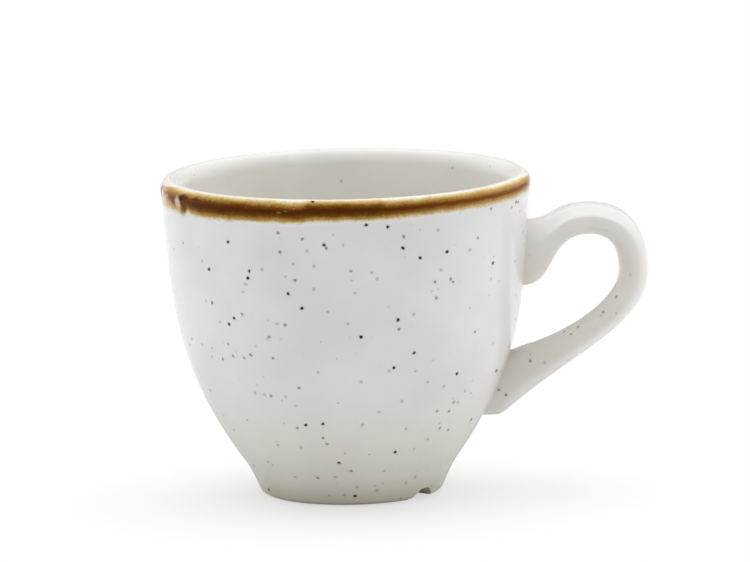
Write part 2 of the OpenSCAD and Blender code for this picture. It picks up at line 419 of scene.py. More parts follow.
# Half of the upper arm's section in half sizes: sloped outside, a crease and a flat front
UPPER_HALF = [
    (1.0, 0.0), (0.995, 0.25), (0.97, 0.5), (0.36, 0.955), (0.1, 0.975), (-0.35, 1.0),
    (-0.65, 0.95), (-0.85, 0.8), (-0.965, 0.5), (-1.0, 0.0),
]
# Where the section changes to the upper and the lower arm's, in parts of the strap
CREASE_SPAN = (0.0, 0.5)
ROUND_SPAN = (1.3, 1.9)
# Where the toe is rounded, as shares of the strap, and over how many rings
TOE_START = (0.72, 0.8)
TOE_END = (1.0, 0.97)
TOE_RINGS = 18
TOE_SOFT = 4.0
# Fillets round the roots, and how far the painted shade at the joints reaches there, in rows
ROOT_FILLET = 0.35
FILLET_ROWS = 10
FILLET_SINK = 0.03
ROOT_SHADE_ROWS = 16


def on_wall(z):
    """Point on the wall at a height, in the plane of the handle."""
    return np.array([wall_radius(z), z])


def pull(length, rise):
    """Step of a length that rises by an angle."""
    return length * rise_way(rise)


def strap_rails():
    """Outer and inner rail of the strap from root to root, as cubic curves."""
    crest = np.array([RIM_D / 2 + HANDLE_OUT - BEND_W, CUP_H - HANDLE_DROP])
    side = np.array([RIM_D / 2 + HANDLE_OUT, crest[1] - BEND_H])
    crest_in = crest - [0, GRIP_T]
    side_in = side - [GRIP_T, 0]
    upper_out = on_wall(UPPER_ROOT_Z + UPPER_ROOT_H / 2)
    upper_in = on_wall(UPPER_ROOT_Z - UPPER_ROOT_H / 2)
    lower_out = on_wall(LOWER_ROOT_Z - LOWER_ROOT_H / 2)
    lower_in = on_wall(LOWER_ROOT_Z + LOWER_ROOT_H / 2)
    toe_out = lower_out + [TOE_L, 0]
    toe_in = lower_in + [TOE_L, TOE_L * math.tan(math.radians(TOE_RISE))]
    bend_out = BEND_FULL * np.array([BEND_W, BEND_H])
    bend_in = BEND_FULL * np.array([BEND_W - GRIP_T, BEND_H - GRIP_T])
    outer = [
        [upper_out, upper_out + pull(*UPPER_OUT_PULL), crest - [CREST_OUT_PULL, 0], crest],
        [crest, crest + [bend_out[0], 0], side + [0, bend_out[1]], side],
        [side, side - [0, SIDE_OUT_PULL], toe_out + pull(*LOWER_OUT_PULL), toe_out],
        np.linspace(toe_out, lower_out, 4),
    ]
    inner = [
        [upper_in, upper_in + pull(*UPPER_IN_PULL), crest_in - [CREST_IN_PULL, 0], crest_in],
        [crest_in, crest_in + [bend_in[0], 0], side_in + [0, bend_in[1]], side_in],
        [side_in, side_in - [0, SIDE_IN_PULL], toe_in + pull(*LOWER_IN_PULL), toe_in],
        np.linspace(toe_in, lower_in, 4),
    ]
    return outer, inner


def round_half(power):
    """Half of a rounded section, squarer at a higher power."""
    angles = np.linspace(0, math.pi, FINE_STEPS)
    across = np.sign(np.cos(angles)) * np.abs(np.cos(angles)) ** (2 / power)
    return np.stack([across, np.abs(np.sin(angles)) ** (2 / power)], axis=1)


def strap_section(half):
    """Points evenly round a section with its corners softened, for half sizes of 1."""
    half = np.array(half) * [GRIP_T / 2, GRIP_W / 2]
    whole = np.concatenate([half, half[-2:0:-1] * [1, -1], half[:1]])
    length = run_lengths(whole)
    count = SIDE_STEPS * STRAP_SIDES
    line = points_at(np.linspace(0, length[-1], count, endpoint=False), length, whole)
    apart = np.minimum(np.arange(count), count - np.arange(count)) * length[-1] / count
    weight = np.exp(-0.5 * (apart / STRAP_CREASE) ** 2)
    soft = np.fft.ifft(np.fft.fft(line, axis=0) * np.fft.fft(weight / weight.sum())[:, None], axis=0).real
    return soft[::SIDE_STEPS] / [GRIP_T / 2, GRIP_W / 2]


ROOT_SECTION = strap_section(round_half(ROOT_POWER))
UPPER_SECTION = strap_section(UPPER_HALF)
LOWER_SECTION = strap_section(round_half(LOWER_POWER))


def share_between(value, low, high):
    """Share of the way from low to high, ready for a grid of points."""
    return np.clip((value - low) / (high - low), 0, 1)[:, None, None]


def strap_stations():
    """Outer and inner point, width and place of each ring, with rings inside the wall at both ends."""
    outer, inner = strap_rails()
    widths = [UPPER_ROOT_W, GRIP_W, GRIP_W, LOWER_ROOT_W, LOWER_ROOT_W]
    stations = []
    for part, count in enumerate(STRAP_COUNTS):
        t = np.arange(count) / count
        wide = widths[part] + (widths[part + 1] - widths[part]) * t
        stations.append((curve_points(outer[part], t), curve_points(inner[part], t), wide, part + t))
    out, inn, wide, along = (np.concatenate(values) for values in zip(*stations))
    into = np.linspace(STRAP_REACH, 0, REACH_ROWS)[:-1, None] * [1, 0]
    before, after = len(into), len(into) + 1
    out = np.concatenate([out[0] - into, out, outer[-1][-1:], outer[-1][-1] - into[::-1]])
    inn = np.concatenate([inn[0] - into, inn, inner[-1][-1:], inner[-1][-1] - into[::-1]])
    wide = np.concatenate([np.full(before, UPPER_ROOT_W), wide, np.full(after, LOWER_ROOT_W)])
    along = np.concatenate([np.zeros(before), along, np.full(after, len(STRAP_COUNTS))])
    return out, inn, wide, along


def smooth_toe(rings):
    """Rounds the corner where the lower arm turns into its stub."""
    ahead = np.linspace(0, 1, len(rings))
    share = share_between(ahead, *TOE_START) * share_between(ahead, *TOE_END)
    kernel = np.exp(-0.5 * (np.arange(-TOE_RINGS, TOE_RINGS + 1) / TOE_SOFT) ** 2)
    kernel /= kernel.sum()
    padded = np.concatenate([rings[:1].repeat(TOE_RINGS, 0), rings, rings[-1:].repeat(TOE_RINGS, 0)])
    soft = sum(k * padded[i:i + len(rings)] for i, k in enumerate(kernel))
    return rings + share * (soft - rings)


def strap_rings(inset):
    """Rings along the strap, drawn in by an inset all round."""
    out, inn, wide, along = strap_stations()
    section = ROOT_SECTION + share_between(along, *CREASE_SPAN) * (UPPER_SECTION - ROOT_SECTION)
    section = section + share_between(along, *ROUND_SPAN) * (LOWER_SECTION - section)
    inn = inn + STRAP_TRIM * unit(out - inn)
    half = (out - inn) / 2
    half = half - inset * unit(half)
    middle = (out + inn) / 2
    x = middle[:, None, 0] + half[:, None, 0] * section[:, :, 0]
    z = middle[:, None, 1] + half[:, None, 1] * section[:, :, 0]
    y = (wide[:, None] / 2 - inset) * section[:, :, 1]
    return smooth_toe(np.stack([x, y, z], axis=-1))


def wall_gap(points):
    """Distance of points outside the wall, level with them."""
    return np.hypot(points[..., 0], points[..., 1]) - wall_radius(points[..., 2])


def to_wall(points):
    """Points moved along X on to the wall."""
    moved = points.copy()
    moved[..., 0] = np.sqrt(wall_radius(points[..., 2]) ** 2 - points[..., 1] ** 2)
    return moved


def wall_normals(points):
    """Unit normals of the wall at points on it."""
    t = np.interp(points[..., 2], FINE_WALL[:, 1], FINE)
    return turned(curve_normals(WALL_CURVE, t), np.arctan2(points[..., 1], points[..., 0]))


def cut_line(line, cut):
    """Where a line of the strap leaves the wall, and its place a length further on."""
    gap = wall_gap(line)
    first = int(np.argmax(gap > 0))
    part = gap[first - 1] / (gap[first - 1] - gap[first])
    touch = line[first - 1] + part * (line[first] - line[first - 1])
    length = run_lengths(np.concatenate([[touch], line[first:]]))
    places = np.concatenate([[first - 1 + part], np.arange(first, len(line))])
    return touch, np.interp(cut, length, places)


def trimmed_rows(rings, cut, count):
    """Rows along the strap, from a cut away from the wall, and where it touches the wall."""
    lines = range(STRAP_SIDES)
    starts, first = map(np.array, zip(*(cut_line(rings[:, j], cut) for j in lines)))
    ends, left = map(np.array, zip(*(cut_line(rings[::-1, j], cut) for j in lines)))
    last = len(rings) - 1 - left
    places = np.arange(len(rings))
    rows = []
    for share in np.linspace(0, 1, count):
        at = first + (last - first) * share
        rows.append(np.array([points_at(at[j], places, rings[:, j]) for j in lines]))
    return rows, starts, ends


def root_fillet(touch, leave):
    """Rows of a fillet from the wall up to the strap, and the wall's normals there."""
    out = unit(np.cross(step_round(touch), wall_normals(touch)))
    out *= np.sign(np.mean(np.sum(out * (touch - touch.mean(0)), axis=1)))
    foot = to_wall(touch + ROOT_FILLET * out)
    foot_normals = wall_normals(foot)
    curve = [foot, (foot + 2 * touch) / 3, (leave + 2 * touch) / 3, leave]
    rows = [curve_points(curve, np.full(len(touch), t)) for t in np.linspace(0, 1, FILLET_ROWS)[:-1]]
    rows[0] = rows[0] - FILLET_SINK * foot_normals
    return rows, foot_normals


def make_handle_core():
    """Clay of the handle under its coat, closed at the wall."""
    rows, start, end = trimmed_rows(strap_rings(GLAZE_T), 0, CORE_ROWS)
    rows = [start.mean(0)[None]] + rows + [end.mean(0)[None]]
    return make_piece("handle_core", rows[::-1], [None] * len(rows), closed=False)


def make_handle_glaze():
    """Coat round the handle, which flares on to the wall at its two roots."""
    body, upper_touch, lower_touch = trimmed_rows(strap_rings(0), ROOT_FILLET, COAT_ROWS)
    start, start_normals = root_fillet(upper_touch, body[0])
    end, end_normals = root_fillet(lower_touch, body[-1])
    grid = np.array(start + body + end[::-1])[:, ::-1]
    normals = grid_normals(grid)
    normals[0] = start_normals[::-1]
    normals[-1] = end_normals[::-1]
    inner = strap_rings(GLAZE_T)[::-CORE_STEP, ::-1]
    steps = np.minimum(np.arange(len(grid)), np.arange(len(grid))[::-1])
    # Painted shade near both roots, fading away from them
    root_shade_share = np.concatenate([np.exp(-(steps / ROOT_SHADE_ROWS) ** 2), np.zeros(len(inner))])
    inside = (1 - LOWER_SECTION[::-1, 0]) / 2
    values = {"inside": np.tile(inside, len(root_shade_share)), "root_shade_share": np.repeat(root_shade_share, STRAP_SIDES)}
    return make_piece("handle_glaze_coat", [*grid, *inner], [*normals, *[None] * len(inner)], values=values)


# Brown band at the rim

# Columns in degrees, rows, and how many make one on the side that is not seen
BAND_STEP = 0.5
BAND_ROWS = 34
BAND_UNDER_STEP = 3
# Reach from the crest of the lip to the lower and the upper edge
BAND_REACH = 5.1
BAND_WRAP = 0.36
# How much less it reaches down on the handle's side, as a share
BAND_LEAN = 0.13
# Thickness at its edges and middle, the shape between them, and its depth in the coat
BAND_EDGE_T = 0.015
BAND_MIDDLE_T = 0.18
BAND_SKEW = 1.15
BAND_FULL = 0.75
BAND_SINK = 0.05
# Sags of the lower edge: middle and half width in degrees, depth and squareness
BAND_SAGS = [(-16.0, 4.0, 0.3, 4), (-61.6, 1.8, 0.55, 2), (-57.6, 1.3, -0.45, 2)]


def make_rim_band():
    """Brown edging, thickest at its middle, with an uneven lower edge."""
    columns = np.radians(np.arange(0, 360, BAND_STEP))
    front = np.degrees(np.mod(columns + math.pi / 2 + math.pi, 2 * math.pi) - math.pi)
    stretch = 1 - BAND_LEAN * np.sin(np.radians(front))
    stretch += waves(columns, seed=8, count=5, lowest=2, height=0.012)
    sag = sum(deep * np.exp(-((front - middle) / wide) ** power) for middle, wide, deep, power in BAND_SAGS)
    sag += waves(columns, seed=5, count=9, lowest=7, height=0.05)
    sag += waves(columns, seed=6, count=9, lowest=31, height=0.03)
    reach = BAND_REACH * stretch + sag

    def band_row(share, rise):
        """Row of points raised from the coat, and their depth on an even band."""
        below = reach + (BAND_WRAP - reach) * share
        point, normal = OUTLINE.at(S_CREST - below)
        return turned(point + rise * normal, columns), (below - sag * (1 - share)) / stretch

    shares = np.linspace(0, 1, BAND_ROWS)
    bulge = np.sin(np.pi * shares**BAND_SKEW) ** BAND_FULL
    rises = BAND_EDGE_T + (BAND_MIDDLE_T - BAND_EDGE_T) * bulge
    upper = [band_row(share, rise) for share, rise in zip(shares, rises)]
    under = [band_row(share, -BAND_SINK) for share in shares[::-BAND_UNDER_STEP]]
    rows, depths = zip(*upper + under)
    normals = [*grid_normals(np.array(rows[:BAND_ROWS])), *[None] * len(under)]
    return make_piece("rim_band_edging", rows, normals, values={"depth": np.concatenate(depths)})


# Shader nodes, each in the tree of the first socket that it is given

def link(socket, node, key):
    """Links a socket to an input of a node."""
    socket.id_data.links.new(socket, node.inputs[key])


def add(source, kind, inputs=None, **settings):
    """New node in the tree of a source. Sockets are linked to its inputs, other values are set."""
    node = source.id_data.nodes.new("ShaderNode" + kind)
    for key, value in settings.items():
        setattr(node, key, value)
    for key, value in (inputs or {}).items():
        if isinstance(value, bpy.types.NodeSocket):
            link(value, node, key)
        else:
            node.inputs[key].default_value = value
    return node


def maths(operation, a, b=0.0):
    """Result of a sum on a socket and another or a number."""
    return add(a, "Math", {0: a, 1: b}, operation=operation).outputs[0]


def plus(a, b):
    """Sum of two."""
    return maths("ADD", a, b)


def times(a, b):
    """Product of two."""
    return maths("MULTIPLY", a, b)


def vectors(operation, a, b=(0, 0, 0), scale=1.0):
    """Result of a sum on vectors."""
    node = add(a, "VectorMath", {0: a, 1: b, 3: scale}, operation=operation)
    return node.outputs["Value" if operation in ("DISTANCE", "LENGTH") else "Vector"]


def span(value, low, high, start, end, kind="LINEAR"):
    """Change from start to end as a value goes from low to high."""
    ends = {"Value": value, "From Min": low, "From Max": high, "To Min": start, "To Max": end}
    return add(value, "MapRange", ends, interpolation_type=kind).outputs[0]


def ease(value, low, high, start=0.0, end=1.0):
    """Smooth change from start to end as a value goes from low to high."""
    return span(value, low, high, start, end, "SMOOTHSTEP")


def fade(value, low, high):
    """Smooth change from 1 to 0 as a value goes from low to high."""
    return ease(value, low, high, 1.0, 0.0)


def mixed(share, a, b):
    """Colour between two colours."""
    return add(share, "Mix", {0: share, 6: a, 7: b}, data_type="RGBA").outputs[2]


def tinted(shade, share, tint):
    """Colour multiplied by a tint, by a share."""
    inputs = {0: share, 6: shade, 7: (*tint, 1.0)}
    return add(shade, "Mix", inputs, data_type="RGBA", blend_type="MULTIPLY").outputs[2]


def colour(red, green, blue):
    """Colour written as on a screen, from 0 to 255."""
    parts = np.array([red, green, blue]) / 255
    linear = np.where(parts <= 0.04045, parts / 12.92, ((parts + 0.055) / 1.055) ** 2.4)
    return (*linear.tolist(), 1.0)


def place_mm(tree):
    """Place on the piece in millimetres."""
    return vectors("SCALE", add(tree, "TexCoord").outputs["Object"], scale=1 / MM)


def part_of(vector, axis):
    """Part of a vector along X, Y or Z."""
    return add(vector, "SeparateXYZ", {0: vector}).outputs[axis]


def attribute(tree, name):
    """Number that a mesh carries at its points."""
    return add(tree, "Attribute", attribute_name=name).outputs["Fac"]


def noise(place, size, detail=2.0, shift=0.0):
    """Noise with features of a size in millimetres."""
    moved = vectors("ADD", place, (shift, shift, shift))
    return add(place, "TexNoise", {"Vector": moved, "Scale": 1 / size, "Detail": detail}).outputs["Fac"]


def jitter(place, size, detail=2.0, shift=0.0):
    """Noise that lies around 0."""
    return maths("SUBTRACT", noise(place, size, detail, shift), 0.5)


def new_material(name):
    """Empty material with its Principled shader."""
    material = bpy.data.materials.new(name)
    material.use_nodes = True
    return material, material.node_tree, material.node_tree.nodes["Principled BSDF"]


# Speckled glaze

# Levels of noise where the clouds and the warm specks change
CLOUD_SPAN = (0.3, 0.7)
WARM_SPAN = (0.45, 0.7)
GLAZE_TONES = (colour(224, 223, 225), colour(230, 229, 230))
DARK_TONES = (colour(40, 36, 28), colour(86, 62, 34))
DARK_HALO = colour(176, 158, 122)
GREY_TONE = colour(104, 102, 94)
GREY_HALO = colour(196, 194, 184)
FINE_TONE = colour(96, 92, 82)
FINE_HALO = colour(190, 186, 174)
# Radius and strength of the specks at given spots
DARK_LOOK = (0.36, 1.0)
GREY_LOOK = (0.34, 0.7)
FAINT_LOOK = (0.36, 0.36)
# Random specks: how far apart they are, the largest radius and a shift
FINE_GRID = (2.5, 0.34, 43.0)
LARGE_GRID = (3.1, 0.36, 26.0)
SMALLEST_SHARE = 0.45
FINE_STRENGTH = (0.06, 0.4)
# The large random specks begin behind the places that are seen in front
LARGE_FROM_Y = (-12.0, -6.0)
# Where a speck's core and halo fade out, as shares of its radius
CORE_FADE = np.array([0.5, 1.05])
HALO_FADE = np.array([0.7, 1.5])
HALO_STRENGTH = 0.5
# How uneven the outlines of the specks are
WOBBLE_SCALE = 1.6
WOBBLE = 0.4
FAR_AWAY = 100.0
GLAZE_IOR = 1.52
GLAZE_ROUGH = (0.07, 0.13)
SWELL_DEPTH = 0.08
SWELL_STRENGTH = 0.35
PEEL_SHARE = 0.05


def nearest_spot(place, spots):
    """Distance in millimetres to the nearest of some spots."""
    nearest = FAR_AWAY
    for spot in spots:
        nearest = maths("MINIMUM", vectors("DISTANCE", place, spot), nearest)
    return nearest


def random_specks(place, cell, largest, shift):
    """Distance to the nearest random speck in its radii, and a random number for it."""
    moved = vectors("ADD", place, (shift, 2 * shift, 3 * shift))
    cells = add(place, "TexVoronoi", {"Vector": moved, "Scale": 1 / cell}).outputs
    chance = add(place, "SeparateColor", {"Color": cells["Color"]}).outputs
    radius = ease(chance["Red"], 0.0, 1.0, SMALLEST_SHARE * largest / cell, largest / cell)
    return maths("DIVIDE", cells["Distance"], radius), chance["Green"]


def dotted(shade, apart, radius, strength, core, halo):
    """Colour with specks, each a dark core in a paler halo."""
    ring = times(ease(apart, *(HALO_FADE * radius), HALO_STRENGTH, 0.0), strength)
    middle = times(fade(apart, *(CORE_FADE * radius)), strength)
    return mixed(middle, mixed(ring, shade, halo), core)


def wobbled(place):
    """Place moved a little, which makes round specks uneven."""
    moves = add(place, "TexNoise", {"Vector": place, "Scale": WOBBLE_SCALE, "Detail": 1.0}).outputs["Color"]
    moves = vectors("SUBTRACT", moves, (0.5, 0.5, 0.5))
    return vectors("ADD", place, vectors("SCALE", moves, scale=WOBBLE))


def speckled(place, amount, dark_spots, grey_spots, faint_spots):
    """Cloudy white with fine specks, an amount of large ones, and those at given spots."""
    cloud = noise(place, size=14.0, detail=3.0)
    shade = mixed(ease(cloud, *CLOUD_SPAN), *GLAZE_TONES)
    warm = noise(place, size=5.0, detail=1.0, shift=90.0)
    dark = mixed(ease(warm, *WARM_SPAN), *DARK_TONES)
    bent = wobbled(place)
    apart, chance = random_specks(bent, *FINE_GRID)
    shade = dotted(shade, apart, 1.0, ease(chance, 0.0, 1.0, *FINE_STRENGTH), FINE_TONE, FINE_HALO)
    apart, chance = random_specks(bent, *LARGE_GRID)
    chosen = maths("LESS_THAN", chance, amount)
    behind = ease(part_of(place, "Y"), *LARGE_FROM_Y)
    shade = dotted(shade, apart, 1.0, times(chosen, behind), dark, DARK_HALO)
    for spots, look, *tones in (
        (faint_spots, FAINT_LOOK, GREY_TONE, GREY_HALO),
        (grey_spots, GREY_LOOK, GREY_TONE, GREY_HALO),
        (dark_spots, DARK_LOOK, dark, DARK_HALO),
    ):
        shade = dotted(shade, nearest_spot(bent, spots), *look, *tones)
    return shade


def make_glaze_group(spots):
    """Shared look of the glaze, with an amount of large random specks."""
    tree = bpy.data.node_groups.new("speckled_glaze", "ShaderNodeTree")
    tree.interface.new_socket("Amount", in_out="INPUT", socket_type="NodeSocketFloat")
    for name, kind in (("Colour", "Color"), ("Roughness", "Float"), ("Normal", "Vector")):
        tree.interface.new_socket(name, in_out="OUTPUT", socket_type="NodeSocket" + kind)
    start = tree.nodes.new("NodeGroupInput")
    end = tree.nodes.new("NodeGroupOutput")
    place = place_mm(tree)
    swell = noise(place, size=9.0, detail=1.0, shift=60.0)
    peel = noise(place, size=1.4, detail=1.0, shift=30.0)
    height = plus(swell, times(peel, PEEL_SHARE))
    bump = add(tree, "Bump", {"Height": height, "Strength": SWELL_STRENGTH, "Distance": SWELL_DEPTH * MM})
    link(speckled(place, start.outputs["Amount"], *spots), end, "Colour")
    link(span(peel, 0.0, 1.0, *GLAZE_ROUGH), end, "Roughness")
    link(bump.outputs["Normal"], end, "Normal")
    return tree


def glazed(name, group, amount):
    """New glossy material, its tree and shader, and the glaze's colour to link."""
    material, tree, shader = new_material(name)
    look = tree.nodes.new("ShaderNodeGroup")
    look.node_tree = group
    look.inputs["Amount"].default_value = amount
    link(look.outputs["Roughness"], shader, "Roughness")
    link(look.outputs["Normal"], shader, "Normal")
    shader.inputs["IOR"].default_value = GLAZE_IOR
    return material, tree, shader, look.outputs["Colour"]


# Materials of the coats

# Share of the large random specks
OUTER_AMOUNT = 0.75
INNER_AMOUNT = 0.0
HANDLE_AMOUNT = 0.05
BAND_AMOUNT = 0.2
# Tints by height: a low and a high one, the share at each, and the colour
LIP_TINT = (54.8, 55.6, 0.0, 1.0, (0.97, 0.945, 0.86))
# Painted shade: darker and warmer towards the foot, near the floor
FOOT_SHADE_TINT = (0.0, 6.0, 1.0, 0.0, (0.83, 0.805, 0.715))
# Painted shade: a warm cast on the lower wall, as from the floor below
LOWER_WARM_SHADE_TINT = (8.0, 25.0, 1.0, 0.0, (1.0, 0.995, 0.91))
# Painted shade: the inside darker and warmer deeper down
INSIDE_SHADE_TINT = (30.0, 56.0, 1.0, 0.4, (0.95, 0.93, 0.8))
HANDLE_TINT = (1.0, 0.985, 0.955)
# Painted shade at the joints of the handle with the wall
ROOT_SHADE_TINT = (0.95, 0.945, 0.92)
# Creamy cast of the handle with painted shade, darker on the strap's inner side, which changes by height and
# towards the inside of the strap
CREAM_AND_SHADE_TINT = (0.945, 0.93, 0.85)
CREAM_AND_SHADE_HEIGHT = (18.0, 44.0, 1.0, 0.5)
CREAM_AND_SHADE_INSIDE = (0.2, 0.65)


def by_height(shade, height, *tints):
    """Colour with tints by the height."""
    for *change, tint in tints:
        shade = tinted(shade, ease(height, *change), tint)
    return shade


def coat_material(name, group, amount, *tints):
    """Glaze of a coat with tints that change with the height, some of them painted shade."""
    material, tree, shader, shade = glazed(name, group, amount)
    link(by_height(shade, part_of(place_mm(tree), "Z"), *tints), shader, "Base Color")
    return material


def handle_material(group):
    """Glaze on the handle, creamy and darker with painted shade towards the inside of the strap, and with
    painted shade near its roots.
    """
    material, tree, shader, shade = glazed("handle_glaze", group, HANDLE_AMOUNT)
    height = part_of(place_mm(tree), "Z")
    inside = ease(attribute(tree, "inside"), *CREAM_AND_SHADE_INSIDE)
    shade = tinted(shade, 1.0, HANDLE_TINT)
    # Painted shade: the strap's inner side darker and creamier, more so lower down
    shade = tinted(shade, times(inside, ease(height, *CREAM_AND_SHADE_HEIGHT)), CREAM_AND_SHADE_TINT)
    # Painted shade near the roots of the handle
    link(tinted(shade, attribute(tree, "root_shade_share"), ROOT_SHADE_TINT), shader, "Base Color")
    return material


# Material of the brown band

# Tones, and their depth below the crest of the lip
PALE = colour(228, 227, 226)
CREAM = colour(220, 208, 176)
AMBER = colour(188, 154, 84)
BROWN = colour(118, 74, 24)
DARK = colour(84, 44, 11)
SIENNA = colour(131, 75, 27)
TAN = colour(186, 150, 90)
BAND_FRONT = [
    (0.45, PALE), (0.8, CREAM), (1.35, AMBER), (1.95, BROWN), (2.5, DARK),
    (2.95, DARK), (3.6, BROWN), (4.25, AMBER), (4.5, CREAM), (4.85, PALE),
]
BAND_SIDE = [
    (0.4, PALE), (0.8, CREAM), (1.45, AMBER), (2.4, SIENNA), (3.0, SIENNA),
    (3.75, TAN), (4.35, CREAM), (4.75, PALE),
]
BAND_DEPTH = 5.2
BAND_IOR = 1.12
# Where the tones of the sides take over, in degrees from the front
RIGHT_SPAN = (4.0, 60.0)
LEFT_SPAN = (-72.0, -48.0, 0.7, 0.0)
BEHIND_SPAN = (90.0, 170.0)
# Brush strokes: how they are drawn out, and how far each noise moves the tones
STROKE_SCALE = (0.22, 0.22, 1.0)
STROKE_MOVE = 0.5
FRINGE_MOVE = 0.45
GRAIN_TINT = (0.7, 0.62, 0.5)
GRAIN_SPAN = (0.35, 0.75, 0.0, 0.45)
# Depths where its edges fade out, and how much lower the upper one lies at the sides and back
UPPER_EDGE = (0.4, 0.75)
LOWER_EDGE = (4.5, 4.95)
SIDES_DROP = (60.0, 90.0, 0.0, 1.3)
# Overlaps of the brush strokes: degrees where each comes and goes, and its dip, which ends at some depth
OVERLAPS = [(-32.0, -14.0, -14.0, -11.5, 0.3), (10.5, 13.0, 70.0, 150.0, 0.4)]
STROKE_DEPTH = (2.2, 3.4)
# Marks: middle and half sizes in degrees and depth, softness and tone
BAND_MARKS_SHEENS_AND_GLINTS = [
    # The pale mark at -83 degrees is a painted sheen at the band's left end
    ((-83.0, 3.4), (9.5, 2.4), 0.7, (226, 204, 184)), ((-82.0, 2.5), (1.4, 1.0), 0.7, (88, 58, 38)),
    ((-60.6, 2.15), (2.9, 0.6), 0.5, (58, 28, 6)), ((-59.8, 3.3), (1.7, 1.0), 0.9, (100, 54, 16)),
    ((-52.5, 2.0), (2.2, 0.25), 0.5, (92, 54, 16)), ((-63.8, 3.05), (1.9, 1.0), 0.4, (210, 182, 144)),
    # The pale mark at 90 degrees is a painted sheen at the band's right end
    ((90.0, 2.4), (9.0, 3.0), 0.7, (212, 180, 148)), ((-10.1, 1.0), (0.6, 0.3), 0.3, (62, 40, 14)),
    # The last three marks are painted glints, small highlights on the band
    ((-20.6, 2.9), (0.8, 0.1), 0.6, (162, 112, 66)), ((-18.4, 2.6), (0.5, 0.1), 0.6, (150, 102, 58)),
    ((-15.6, 2.2), (0.7, 0.08), 0.6, (168, 122, 76)),
]
# A mark is an ellipse at a power of 2 and has corners at 1
MARK_POWER = 1.5
MARK_RAGGED = 1.2


def ramp(value, stops):
    """Colour through stops, given as depth and tone."""
    node = add(value, "ValToRGB", {"Fac": maths("DIVIDE", value, BAND_DEPTH)})
    points = node.color_ramp.elements
    while len(points) < len(stops):
        points.new(0.5)
    for point, (at, tone) in zip(points, stops):
        point.position = at / BAND_DEPTH
        point.color = tone
    return node.outputs["Color"]


def front_turn(place):
    """Angle round the cup in degrees, 0 in front and more towards the handle."""
    return maths("DEGREES", maths("ARCTAN2", part_of(place, "X"), times(part_of(place, "Y"), -1.0)))


def patch(front, depth, middle, size, soft):
    """Share of a mark on the band, sized in degrees round and millimetres down."""
    total = 0.0
    for value, at, reach in zip((front, depth), middle, size):
        away = maths("ABSOLUTE", maths("SUBTRACT", value, at))
        total = plus(maths("POWER", maths("DIVIDE", away, reach), MARK_POWER), total)
    return fade(maths("POWER", total, 1 / MARK_POWER), 1 - soft, 1 + soft)


def stroke_ends(front, depth):
    """How far the brush strokes dip where they overlap."""
    total = 0.0
    for begin, full, leave, end, dip in OVERLAPS:
        total = plus(times(ease(front, begin, full, 0.0, dip), fade(front, leave, end)), total)
    return times(total, fade(depth, *STROKE_DEPTH))


def band_side(front):
    """Share of the tones of the sides, from the front to the back."""
    left = ease(front, *LEFT_SPAN)
    behind = ease(maths("ABSOLUTE", front), *BEHIND_SPAN)
    return maths("MAXIMUM", maths("MAXIMUM", left, ease(front, *RIGHT_SPAN)), behind)


def band_material(group):
    """Brown band, dark at its middle, amber where it thins, fading out at its edges, with painted sheen at
    its ends and painted glints.
    """
    material, tree, shader, glaze = glazed("brown_band", group, BAND_AMOUNT)
    shader.inputs["IOR"].default_value = BAND_IOR
    place = place_mm(tree)
    depth = attribute(tree, "depth")
    front = front_turn(place)
    strokes = jitter(vectors("MULTIPLY", place, STROKE_SCALE), size=0.55, detail=3.0, shift=5.0)
    fringe = jitter(place, size=0.6, shift=55.0)
    ripple = jitter(place, size=0.7, shift=95.0)
    slow = jitter(place, size=3.0, detail=3.0, shift=21.0)
    grain = noise(place, size=0.3, shift=70.0)

    shift = plus(times(plus(strokes, slow), STROKE_MOVE), times(fringe, FRINGE_MOVE))
    moved = plus(depth, maths("SUBTRACT", shift, stroke_ends(front, depth)))
    shade = mixed(band_side(front), ramp(moved, BAND_FRONT), ramp(moved, BAND_SIDE))
    shade = tinted(shade, ease(grain, *GRAIN_SPAN), GRAIN_TINT)
    # Marks: specks and chips, with painted sheens and glints
    for middle, size, soft, tone in BAND_MARKS_SHEENS_AND_GLINTS:
        aside = plus(front, times(ripple, MARK_RAGGED * size[0]))
        ragged = plus(depth, times(fringe, size[1]))
        shade = mixed(patch(aside, ragged, middle, size, soft), shade, colour(*tone))

    lowered = ease(maths("ABSOLUTE", front), *SIDES_DROP)
    upper_edge = ease(maths("SUBTRACT", depth, lowered), *UPPER_EDGE)
    edge = times(upper_edge, fade(moved, *LOWER_EDGE))
    link(mixed(edge, by_height(glaze, part_of(place, "Z"), LIP_TINT), shade), shader, "Base Color")
    return material


# Material of the bare clay and the slip

CLAY_TONES = (colour(222, 214, 200), colour(206, 196, 180))
SLIP_TONES = (colour(226, 220, 210), colour(212, 205, 193))
CLAY_ROUGH = (0.7, 0.9)
GRAIN_DEPTH = 0.05
GRAIN_STRENGTH = 0.5


def clay_material(name, tones):
    """Bare fired clay with a fine grain."""
    material, tree, shader = new_material(name)
    place = place_mm(tree)
    grain = noise(place, size=0.35, detail=4.0)
    cloud = noise(place, size=6.0, shift=12.0)
    share = times(plus(grain, cloud), 0.5)
    bump = add(tree, "Bump", {"Height": grain, "Strength": GRAIN_STRENGTH, "Distance": GRAIN_DEPTH * MM})
    link(mixed(ease(share, *CLOUD_SPAN), *tones), shader, "Base Color")
    link(span(grain, 0.0, 1.0, *CLAY_ROUGH), shader, "Roughness")
    link(bump.outputs["Normal"], shader, "Normal")
    return material


# Camera

